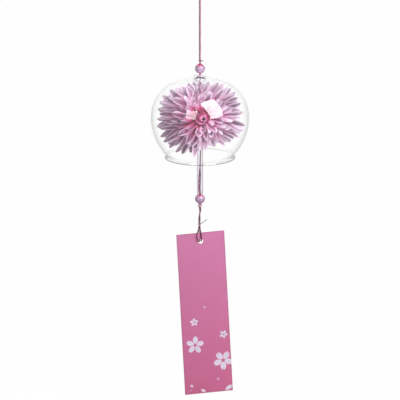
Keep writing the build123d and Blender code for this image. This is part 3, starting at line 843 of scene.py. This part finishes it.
def petals(seed, angles, reaches, seat, width, lean, curl, dark, under, loose, raised):
    """Petals as grids of their length and width, with each point's painted shade and place. The middle line
    leaves the hub at its lean and bends by its curl, the section is a channel, deepest at the foot, with two
    fine ribs, and each petal is turned, waved and drawn aside as loosely as it may. The
    tone_and_painted_shade value is painted shade, with each petal's random shift: darkest in the fold, at the
    tip and on the petals away from the light, with a painted shadow just past the layer in front and a
    painted highlight on the ribs. The colour's way is mostly the petal's length, partly the distance from the
    flower's middle. The lowest petals curl up to the viewer as far as they are raised."""
    count = len(angles)
    chance, varied = petal_chance(seed, count)
    along, across = petal_grid(25)
    turn = np.radians(np.asarray(angles, float))[:, None, None]
    lower = raised * np.clip(-np.sin(turn), 0, 1) ** 1.5
    slope = np.radians(varied(lean, 8.0 * loose) + (varied(curl, 16.0 * loose) + lower) * along ** 1.6)
    step = np.diff(along[0, :, 0])[None, :, None]
    middle = (slope[:, 1:] + slope[:, :-1]) / 2
    length = ((reaches - HUB_RADIUS) / np.cos(middle).mean((1, 2)))[:, None, None]
    zero = np.zeros((count, 1, 1))
    run = HUB_RADIUS + length * np.concatenate([zero, np.cumsum(np.cos(middle) * step, 1)], 1)
    rise = varied(seat, 0.2) + length * np.concatenate([zero, np.cumsum(np.sin(middle) * step, 1)], 1)
    away = [(np.asarray(angles, float) % 360 - place) / BROAD_SPREAD for place in BROAD_ANGLES]
    broad = sum(np.exp(-(one ** 2)) for one in away)[:, None, None]
    half = (width / 2 * (varied(1.0, 0.22) + 0.55 * broad))
    half = half * swelling(along, varied(0.62, 0.1), 0.4, varied(2.6, 0.7), 0.74 - 0.26 * loose)
    fold = varied(0.84, 0.38) * np.where(chance.uniform(0, 1, count) < 0.25, -1, 1)[:, None, None]
    fold = fold * (1 - 0.45 * broad) * (1.1 - 0.4 * along)
    ribs = np.cos(3 * np.pi * across)
    channel = fold * (np.abs(across) ** 1.2 - 0.5) + 0.09 * ribs
    wave = 0.2 * across * np.sin(2 * np.pi * (varied(1.1, 0.5) * along + varied(0.0, 0.5)))
    lift = half * (channel + wave)
    side = across * half * (1 - 0.12 * np.abs(fold))
    twist = np.radians(varied(0.0, 45.0 * loose)) * along
    side, lift = side * np.cos(twist) - lift * np.sin(twist), side * np.sin(twist) + lift * np.cos(twist)
    bend = varied(0.0, 0.1 * loose) * length
    side = side + bend * np.sin(np.pi * along ** 0.8) + varied(0.0, 0.06 * loose) * length * along ** 2
    outward, upward = run - np.sin(slope) * lift, rise + np.cos(slope) * lift
    points = np.stack([outward * np.cos(turn) - side * np.sin(turn),
                       outward * np.sin(turn) + side * np.cos(turn), upward + 0 * side], -1)
    # Painted shade in the folds of the channel, a painted shadow just past the layer in front, and painted
    # shade on the petals away from the light.
    deep = np.clip(0.5 - (channel + 0 * half) / 0.5, 0, 1)
    past = outward - under * reaches[:, None, None]
    contact_shadow = np.clip(1 - past / 3.5, 0, 1) * np.clip(along * 4, 0, 1)
    dark = dark[:, None, None]
    groove_shade = 0.8 * (1 - along) + (0.3 + dark) * along
    # Painted highlight: a little paler along the ribs.
    tone_and_painted_shade = dark * (0.12 + 0.34 * along) + groove_shade * deep + 0.24 * contact_shadow - 0.06 * ribs
    places = np.stack(np.broadcast_arrays(across / 2 + 0.5, 0.78 * along + 0.22 * outward / 34), -1)
    return points, np.clip(tone_and_painted_shade, 0, 1), places


def heart_petals(seed, count, foot, belly, tip, seat, height, width, aside):
    """Cupped petals that close over the heart: their distance from the middle goes from foot to tip through
    a belly of half a sine, their height is a quarter sine, their section follows a ring round the heart, and
    the whole cup leans aside as it rises."""
    _, varied = petal_chance(seed, count)
    along, across = petal_grid(21)
    out = foot * (1 - along) + varied(tip, 0.5) * along + varied(belly, 0.4) * np.sin(np.pi * along ** 0.85)
    rise = seat + varied(height, 0.9) * np.sin(np.pi / 2 * along) ** 0.9
    half = width / 2 * varied(1.0, 0.2) * swelling(along, varied(0.62, 0.06), 0.5, varied(2.4, 0.4), 0.6)
    angles = np.radians(ring_angles(count, 0.3, seed, 0.16))[:, None, None]
    turn = angles + across * half / np.maximum(out, 2.2) + np.radians(varied(0.0, 18.0)) * along ** 2
    edge = half * (0.2 * np.abs(across) ** 2 + 0.06 * np.cos(3 * np.pi * across)) * varied(1.0, 1.0)
    outward = out + edge
    points = np.stack([outward * np.cos(turn) + aside[0] * along ** 2,
                       outward * np.sin(turn) + aside[1] * along ** 2, rise + 0 * outward], -1)
    # Painted shade: darker toward the root, deep in the cup, and at the petals' edges.
    tone_and_painted_shade = 0.05 + 0.5 * (1 - along) + 0.75 * np.abs(across) ** 3 * (1.1 - along)
    places = np.stack(np.broadcast_arrays(across / 2 + 0.5, along + 0 * half), -1)
    return points, np.clip(tone_and_painted_shade + 0 * half, 0, 1), places


def inside_glass(points):
    """Petals that would meet the wall lie against it: their distance from the bell's axis nears its limit as
    an exponential does."""
    gap, soft = 0.7, 1.5
    placed = to_frame(points)
    limit = wall_radius(placed[..., 2] - EQUATOR_Z, GLASS_WALL) - gap
    away = np.hypot(placed[..., 0], placed[..., 1])
    past = np.maximum(away - limit + soft, 0)
    held = np.where(away > limit - soft, limit - soft * np.exp(-past / soft), away)
    placed[..., :2] *= (held / np.maximum(away, 1e-6))[..., None]
    return from_frame(placed)


def behind_cord(points, line):
    """Petals under the cord are pressed back: near the cord no point stands in front of it."""
    near, gap, lowest = 1.6, 0.75, 1.5
    order = np.argsort(line[:, 1])
    side = np.interp(points[..., 1], line[order, 1], line[order, 0])
    front = np.interp(points[..., 1], line[order, 1], line[order, 2])
    felt = np.exp(-((points[..., 0] - side) / near) ** 2) * (points[..., 1] > lowest)
    over = np.maximum(points[..., 2] - (front - gap), 0)
    points = points.copy()
    points[..., 2] -= over * felt
    return points


def petal_piece(name, node, made, material, cord_line):
    """One layer of petals as a thin closed cloth, with the tone of each point."""
    points, tone_and_painted_shade, places = made
    points = to_frame(behind_cord(inside_glass(points), cord_line))
    grids = [grid(one, places=place) for one, place in zip(points, places)]
    cloth = piece(name, "bell_cord", [node], material, joined(grids), tone_and_painted_shade.ravel(), outward=False)
    solid = cloth.modifiers.new("cloth", "SOLIDIFY")
    solid.thickness = 0.14 * MM
    solid.offset = 0.0
    return cloth


def side_shade_and_tone(angles, seed):
    """How far each petal goes to its painted shade, for the side away from the light: most at the left, least
    at the lower right, a little more at the top and right, with a random shift from petal to petal.
    """
    chance = np.random.default_rng(seed)
    turn = np.radians(np.asarray(angles, float))
    toward = np.clip(np.cos(turn - np.radians(203)), 0, 1) ** 2.4
    other = 0.1 + 0.14 * np.sin(turn) + 0.08 * np.cos(turn)
    return np.clip(other + 1.1 * toward + chance.uniform(-0.2, 0.2, len(angles)), 0, 1)


def ring_angles(count, turn, seed, jitter):
    """Angles evenly round the hub, each moved a little."""
    chance = np.random.default_rng(seed)
    pitch = 360 / count
    return 90 + (np.arange(count) + turn + chance.uniform(-jitter, jitter, count)) * pitch


def petal_layers():
    """Each layer's node, its petals' angles and reaches, and its form, back to front. The first two have a
    petal for each tip of the outline, the third fills the gaps between tips, and the others are even rings
    that reach a share of it."""
    back, second = TIP_ANGLES[::2], TIP_ANGLES[1::2]
    between = TIP_ANGLES + np.diff(TIP_ANGLES, append=TIP_ANGLES[0] + 360) / 2
    third = outline(between % 360) * np.random.default_rng(62).uniform(0.86, 0.97, len(between))
    layers = [
        ("petal_layer_1", back, outline(back), dict(
            seed=0, seat=-2.3, width=6.2, lean=7.0, curl=-30.0, under=0.84, loose=0.5, raised=0.0)),
        ("petal_layer_2", second, outline(second) * 0.995, dict(
            seed=1, seat=-1.5, width=6.0, lean=11.0, curl=-29.0, under=0.82, loose=0.5, raised=0.0)),
        ("petal_layer_3", between, third, dict(
            seed=2, seat=-0.7, width=5.2, lean=9.0, curl=-12.0, under=0.84, loose=0.8, raised=0.0)),
    ]
    for node, count, turn, share, form in [
        ("petal_layer_4", 21, 0.50, 0.79, dict(
            seed=3, seat=0.1, width=5.8, lean=16.0, curl=-12.0, under=0.78, loose=1.0, raised=16.0)),
        ("petal_layer_5", 18, 0.10, 0.62, dict(
            seed=4, seat=0.9, width=6.0, lean=25.0, curl=-10.0, under=0.72, loose=1.0, raised=24.0)),
        ("petal_layer_6", 14, 0.40, 0.45, dict(
            seed=5, seat=1.7, width=5.4, lean=36.0, curl=-4.0, under=0.5, loose=1.0, raised=16.0)),
    ]:
        angles = ring_angles(count, turn, form["seed"] + 20, 0.36)
        chance = np.random.default_rng(form["seed"] + 60)
        layers.append((node, angles, outline(angles % 360) * share * chance.uniform(0.84, 1.07, count), form))
    return layers


def flower():
    """Six layers of petals, the heart, the cord in front of them and the hub behind."""
    line = route(FLOWER_CORD, 32)
    local = from_frame(line[line[:, 1] > -9.44])
    cord_line = local[local[:, 1] > 0]
    for node, angles, reaches, form in petal_layers():
        layer = petals(angles=angles, reaches=reaches, dark=side_shade_and_tone(angles, form["seed"] + 40), **form)
        petal_piece(node + "_cloth", node, layer, PETAL_CLOTH, cord_line)
    outer = heart_petals(31, 8, foot=2.6, belly=3.0, tip=3.0, seat=2.4, height=5.4, width=6.0,
                         aside=(1.0, -2.2))
    inner = heart_petals(32, 6, foot=2.4, belly=2.0, tip=1.3, seat=3.2, height=5.6, width=4.4,
                         aside=(2.2, -2.2))
    for name, node, made in (("heart_outer_cloth", "core_petals_outer", outer),
                             ("heart_inner_cloth", "core_petals_inner", inner)):
        cloth = petal_piece(name, node, made, HEART_CLOTH, cord_line)
        # Painted shade: the cloth's other side and rims take the darker heart cloth.
        cloth.data.materials.append(HEART_SHADED_INSIDE)
        cloth.modifiers["cloth"].material_offset = 1
    piece("flower_cord_strand", "bell_cord", ["flower_cord"], FLOWER_YARN,
          swept(line, CORD / 2, 12, (1.0, 0.2, 0.0)))
    wound_knot("hub_knot", "bell_cord", MAUVE_CORD, HUB_KNOT, radius=1.6, yarn=0.5)
    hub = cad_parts["flower_hub"]
    hub.data.materials.clear()
    hub.data.materials.append(HUB)


flower()


# The clapper's strands, the tag's cord and the tag

def clapper_strands():
    """Two strands through the tube: one behind the other at its head, turned side by side toward its foot,
    and drawn from side to side on the way."""
    height = np.linspace(*CLAPPER_CORDS_Z, 260)
    down = (TUBE_TOP_Z - height) / (TUBE_TOP_Z - TUBE_BOTTOM_Z)
    fade = np.clip((down - 0.6) / 0.2, 0, 1)
    turn = np.radians(-90) * (1 - fade ** 2 * (3 - 2 * fade))
    half = np.interp(down, [0.0, 0.9, 1.0], [0.5, 0.5, 0.48])
    aside = np.interp(down, [0.1, 0.35, 0.55, 0.92, 1.0], [0.0, 0.45, 0.15, -0.55, 0.0])
    for name, side, material in (("clapper_strand_left", -1, ROSE_CORD),
                                 ("clapper_strand_right", 1, DARK_CORD)):
        line = np.stack([aside + side * half * np.cos(turn), side * half * np.sin(turn), height], -1)
        piece(name + "_yarn", "clapper", [name], material, swept(line, 0.49, 12))


def twisted_pair(line, radius, pitch):
    """Two strands laid round each other along a line: one turn on every pitch, half a turn apart."""
    along = unit(np.gradient(line, axis=0))
    side = unit(np.cross(along, ACROSS))
    other = np.cross(along, side)
    strands = []
    for start in (0.0, np.pi):
        turn = (2 * np.pi * run_along(line) / pitch + start)[:, None]
        strands.append(swept(line + radius * (np.cos(turn) * side + np.sin(turn) * other), radius, 10))
    return strands


def tag_cords():
    """The twisted pair, the tie with its cut tail and the two loops through the tag."""
    line = route([BOTTOM_KNOT + offset for offset in [
        (-0.1, 0.0, -1.75), (0.4, 0.0, -4.0), (-0.3, 0.0, -7.4), (-0.45, 0.0, -10.8),
        (-0.5, 0.0, -14.8)]], 32)
    piece("tag_cord_pair", "tag_cord", ["tag_cord"], MAUVE_CORD,
          joined(twisted_pair(line, radius=0.46, pitch=21.0)))
    tail = route([TIE_KNOT + offset for offset in [
        (0.0, 0.0, 0.0), (2.6, -0.3, 1.0), (4.3, -0.4, 2.6), (6.2, -0.4, 3.9)]])
    wound_knot("tie_knot", "tie_knot", MAUVE_CORD, TIE_KNOT, radius=1.2, yarn=0.42)
    piece("tie_tail", "tie_knot", [], GREY_CORD, swept(tail, 0.38, 10))
    for name, material, points in (
        ("tag_loop_left", ROSE_CORD, [
            (-0.45, -0.46, -1.4), (-0.46, -0.55, -4.2), (-2.0, -1.35, -7.6), (-2.15, -1.35, -10.6),
            (-1.2, -1.5, -13.7), (0.4, -0.3, -14.9), (0.2, 1.0, -13.3), (-0.35, 0.75, -9.0),
            (-0.46, 0.5, -4.2), (-0.45, 0.46, -1.4)]),
        ("tag_loop_right", WINE_CORD, [
            (0.45, -0.46, -1.4), (0.46, -0.55, -4.2), (1.45, -0.85, -7.6), (1.6, -0.8, -10.6),
            (1.45, -0.8, -13.4), (1.75, 0.3, -14.5), (1.55, 1.2, -13.2), (1.0, 1.1, -9.0),
            (0.46, 0.5, -4.2), (0.45, 0.46, -1.4)]),
    ):
        line = route([TIE_KNOT + point for point in points], 16)
        piece(name + "_cord", "tag", [name], material, swept(line, 0.47, 10, (1.0, 0.0, 0.0)))


def hung_card(points):
    """Points of the card, x across it from the hole, y through it and z up from the hole, as it hangs: leant
    a little to the side, then turned a little about the upright."""
    roll, yaw = math.radians(3.1), math.radians(10.3)
    x, y, z = points[..., 0], points[..., 1], points[..., 2]
    x, z = x * math.cos(roll) - z * math.sin(roll), x * math.sin(roll) + z * math.cos(roll)
    return np.stack([x * math.cos(yaw) - y * math.sin(yaw), x * math.sin(yaw) + y * math.cos(yaw), z],
                    -1) + TAG_HOLE


def card_outline(count):
    """Points round the card's edge seen from the hole: evenly by the way round, and at each corner."""
    half, top, bottom = TAG_WIDTH / 2, HOLE_DROP, HOLE_DROP - TAG_LENGTH
    corners = np.array([(half, 0.0), (half, top), (-half, top), (-half, bottom), (half, bottom), (half, 0.0)])
    run = run_along(corners)
    stops = np.sort(np.concatenate([np.linspace(0, run[-1], count, endpoint=False), run[1:-1]]))
    return np.stack([np.interp(stops, run, corners[:, k]) for k in (0, 1)], -1)


def paper_tag():
    """The card as rings that grow from its hole to its edge: front, edge, back and the hole's wall. The edge
    is eased by drawing the front's and the back's last ring in."""
    ease, half = 0.08, TAG_THICK / 2
    edge = card_outline(220)
    angle = np.arctan2(edge[:, 1], edge[:, 0])
    hole = HOLE_RADIUS * np.stack([np.cos(angle), np.sin(angle)], -1)
    share = np.linspace(0, 1, 40)[:, None, None] ** 1.6
    flat = hole * (1 - share) + edge * share
    inset = flat[-1] - ease * np.sign(flat[-1]) * (np.abs(flat[-1]) > 7)
    front = np.concatenate([flat[:-1], inset[None]])
    thick = np.full((*front.shape[:2], 1), half)
    rim = np.concatenate([flat[-1:], flat[-1:]])
    rim_y = np.array([ease - half, half - ease])[:, None, None] * np.ones((2, len(edge), 1))
    flat_all = np.concatenate([front, rim, front[::-1]])
    depth = np.concatenate([-thick, rim_y, thick])
    points = np.concatenate([flat_all[..., :1], depth, flat_all[..., 1:]], -1)
    places = np.stack([points[..., 0] / TAG_WIDTH + 0.5, (points[..., 2] - HOLE_DROP) / TAG_LENGTH + 1], -1)
    made = piece("paper_tag_card", "tag", ["paper_tag"], CARD,
                 grid(hung_card(points), True, True, places))
    sharp = made.modifiers.new("edges", "EDGE_SPLIT")
    sharp.split_angle = math.radians(40)


def petal_shape(centre, reach, width, turn, notch, start):
    """One printed petal: half a sine wide, from its narrow foot out to a notched end, as a grid of its length
    and width that stays on the card."""
    along, across = np.linspace(0, 1, 12)[:, None], np.linspace(-1, 1, 9)[None, :]
    end = 1 - notch * np.clip(1 - np.abs(across) * 2.2, 0, 1) - 0.12 * across ** 2
    run = reach * (start + (1 - start) * along * end)
    side = across * width / 2 * np.sin(np.pi * np.clip(0.06 + 0.80 * along, 0, 1)) ** 0.8
    turn = math.radians(turn)
    x = centre[0] + run * math.cos(turn) - side * math.sin(turn)
    z = centre[1] + run * math.sin(turn) + side * math.cos(turn)
    margin = 0.05
    limit, low = TAG_WIDTH / 2 - margin, HOLE_DROP - TAG_LENGTH + margin
    return np.clip(x, -limit, limit), np.maximum(z, low)


def dot_shape(radius, centre):
    """A printed dot as a grid of its way round and way out."""
    out, turn = np.linspace(0.02, 1, 5)[:, None], np.linspace(0, 2 * np.pi, 25)[None, :]
    return centre[0] + radius * out * np.cos(turn), centre[1] + radius * out * np.sin(turn)


def tag_print():
    """Plain blossoms, loose petals and dots in pale ink, a hair proud of the card's front. Their places are
    seen from the hole."""
    proud = 0.02
    blossoms = [((-9.1, -67.4), 3.6, 2.0, 92, 0.2), ((14.6, -79.9), 3.6, 2.0, 62, 0.2),
                ((-9.4, -86.7), 7.8, 4.1, 84, 0.2), ((13.05, -101.7), 8.5, 4.8, 54, 0.24)]
    loose = [((-15.3, -120.2), 3.4, 1.9, -28), ((-6.3, -124.6), 4.2, 2.3, -32),
             ((13.8, -126.8), 7.0, 3.3, 30)]
    shapes = [petal_shape(centre, reach, width, turn + 72 * step, notch, 0.16)
              for centre, reach, width, turn, notch in blossoms for step in range(5)]
    shapes += [petal_shape(*petal, notch=0.22, start=0.0) for petal in loose]
    thin = [dot_shape(1.15, (0.2, -55.4)), dot_shape(1.15, (8.2, -117.0)),
            petal_shape((-15.4, -124.7), 1.7, 1.1, 12, notch=0.22, start=0.0)]
    for name, material, printed in (("tag_print", PRINT, shapes), ("tag_dots", THIN_PRINT, thin)):
        grids = [grid(hung_card(np.stack([x, np.full_like(x, -TAG_THICK / 2 - proud), z], -1)))
                 for x, z in printed]
        piece(name, "tag", [], material, joined(grids), outward=False)


clapper_strands()
tag_cords()
paper_tag()
tag_print()


# Light, floor and backdrop, in metres

def area_light(name, place, short_axis, long_axis, size, power, seen_only=False):
    """A soft box that faces the bell. One for shine alone gives no light on cloth."""
    data = bpy.data.lights.new(name, "AREA")
    data.shape = "RECTANGLE"
    data.size, data.size_y = size
    data.energy = power
    light = bpy.data.objects.new(name, data)
    x_axis, y_axis = Vector(short_axis).normalized(), Vector(long_axis).normalized()
    turn = Matrix((x_axis, y_axis, x_axis.cross(y_axis))).transposed().to_4x4()
    light.matrix_world = Matrix.Translation(place) @ turn
    bpy.context.scene.collection.objects.link(light)
    light.visible_camera = False
    light.visible_transmission = False
    if seen_only:
        light.visible_diffuse = False
    return light


def lighting():
    """A large soft box at the upper right front, a small one at the left, a fill at the back, and an even
    pale room that shows white."""
    middle = Vector((0.0, 0.0, -0.114))
    short_axis, long_axis = Vector((0.729, 0.681, 0.068)), Vector((-0.482, 0.508, 0.715))
    box_way = Vector((0.452, -0.554, 0.699)) - 0.06 * long_axis
    box_size = (0.62, 1.06)
    area_light("soft_box", middle + box_way, short_axis, long_axis, box_size, 11.2)
    area_light("soft_box_shine", middle + 1.01 * box_way, short_axis, long_axis, box_size, 26.0, True)
    area_light("left_shine", middle + Vector((-0.341, -0.839, 0.425)), (0.926, -0.376, 0.0),
               (0.176, 0.434, 0.882), (0.42, 0.45), 6.4, True)
    behind = area_light("back_fill", middle + Vector((-0.55, 0.95, 0.3)), (0.865, 0.501, 0.0),
                        (-0.132, 0.228, -0.965), (0.9, 0.9), 9.0)
    behind.visible_glossy = False
    world = bpy.data.worlds.new("room")
    bpy.context.scene.world = world
    world.use_nodes = True
    tree = world.node_tree
    tree.nodes.clear()
    strength = maths(tree, "MULTIPLY_ADD", shown(tree), 0.61, 0.39)
    room = add(tree, "ShaderNodeBackground", {"Color": grey(1.0), "Strength": strength})
    add(tree, "ShaderNodeOutputWorld", {"Surface": room.outputs[0]})


def floor():
    """A plain white floor far below the tag."""
    height, size = -0.62, 6.0
    corners = np.array([[(x, y, height) for x in (-size, size)] for y in (-size, size)])
    mesh = bpy.data.meshes.new("floor")
    points, faces, _ = grid(corners)
    mesh.from_pydata(points.tolist(), [], faces.tolist())
    made = bpy.data.objects.new("floor", mesh)
    bpy.context.scene.collection.objects.link(made)
    material, tree, shader = new_material("floor_white")
    fill(tree, shader, {"Base Color": grey(0.82), "Roughness": 0.9})
    white = add(tree, "ShaderNodeEmission", {"Color": grey(1.0), "Strength": 1.0})
    mix = add(tree, "ShaderNodeMixShader", {0: maths(tree, "MULTIPLY", shown(tree), 0.985),
                                            1: shader.outputs[0], 2: white.outputs[0]})
    tree.links.new(mix.outputs[0], tree.nodes["Material Output"].inputs["Surface"])
    mesh.materials.append(material)


lighting()
floor()
bpy.context.scene.view_settings.view_transform = "Standard"
